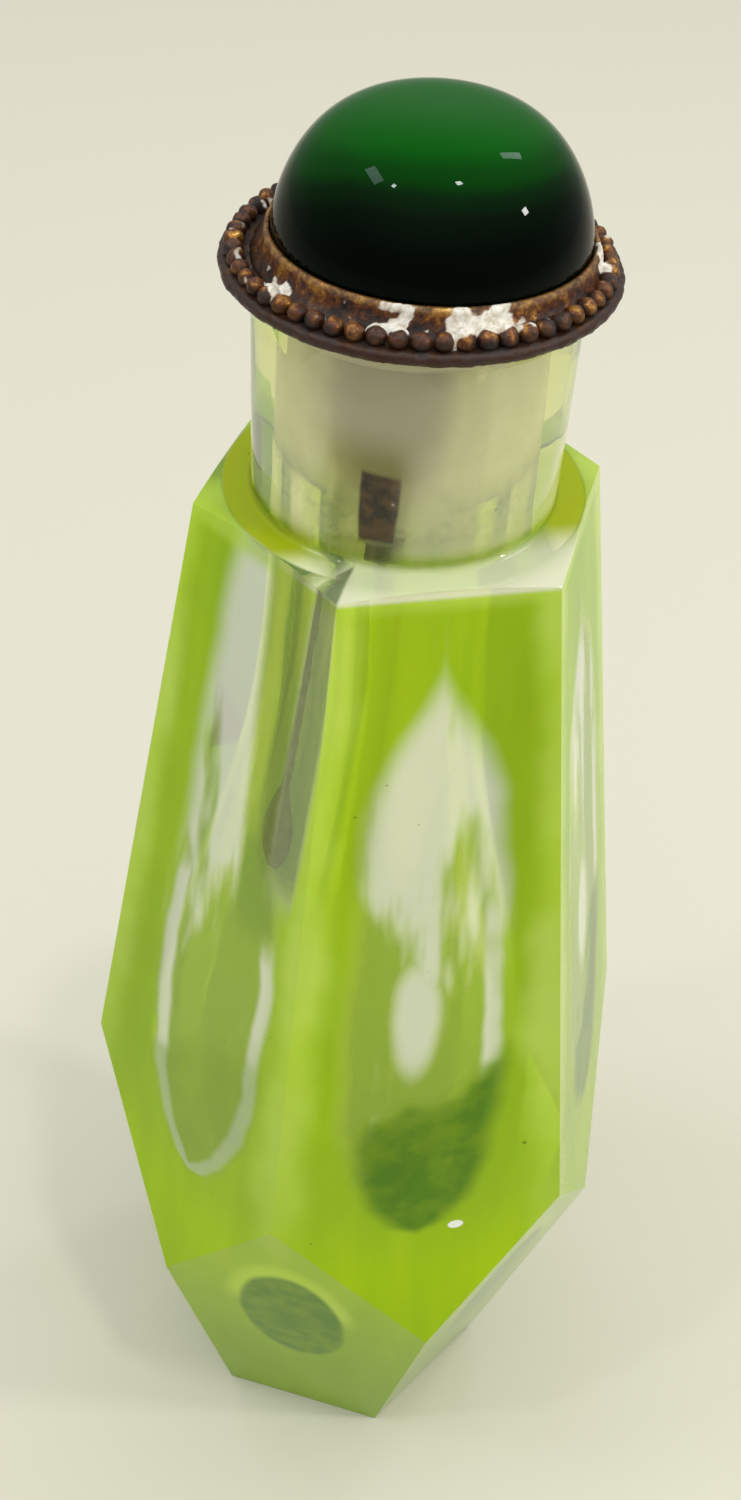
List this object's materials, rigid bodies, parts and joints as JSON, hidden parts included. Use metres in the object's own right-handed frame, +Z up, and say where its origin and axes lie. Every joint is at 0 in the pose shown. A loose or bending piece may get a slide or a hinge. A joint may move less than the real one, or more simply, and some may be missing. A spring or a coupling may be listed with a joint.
{
  "type": "peking glass snuff bottle with stopper and spoon",
  "caption": "Tall faceted hollow green glass bottle with a round neck, closed by a green glass dome stopper in a beaded metal collar, with a small spoon hanging inside.",
  "frame": {"origin": "centre of the flat foot, on the surface that the bottle stands on", "axes": "+Z up along the neck, -Y through one of the six wide facets"},
  "size_m": [0.0312, 0.0312, 0.0892],
  "materials": {
    "bottle_glass": "clear pale green glass, cut and polished, thick walled",
    "dome_glass": "polished deep emerald glass cabochon",
    "collar_metal": "corroded copper alloy with white crust in the hollows",
    "cork": "stained cork",
    "dark_wood": "dark rough end grain",
    "spoon_metal": "tarnished thin metal"
  },
  "bodies": {
    "root": {"bottle": "bottle_glass", "stopper_dome": "dome_glass", "stopper_collar": "collar_metal", "stopper_cork": "cork", "spoon_peg": "dark_wood", "spoon": "spoon_metal"}
  },
  "joints": []
}
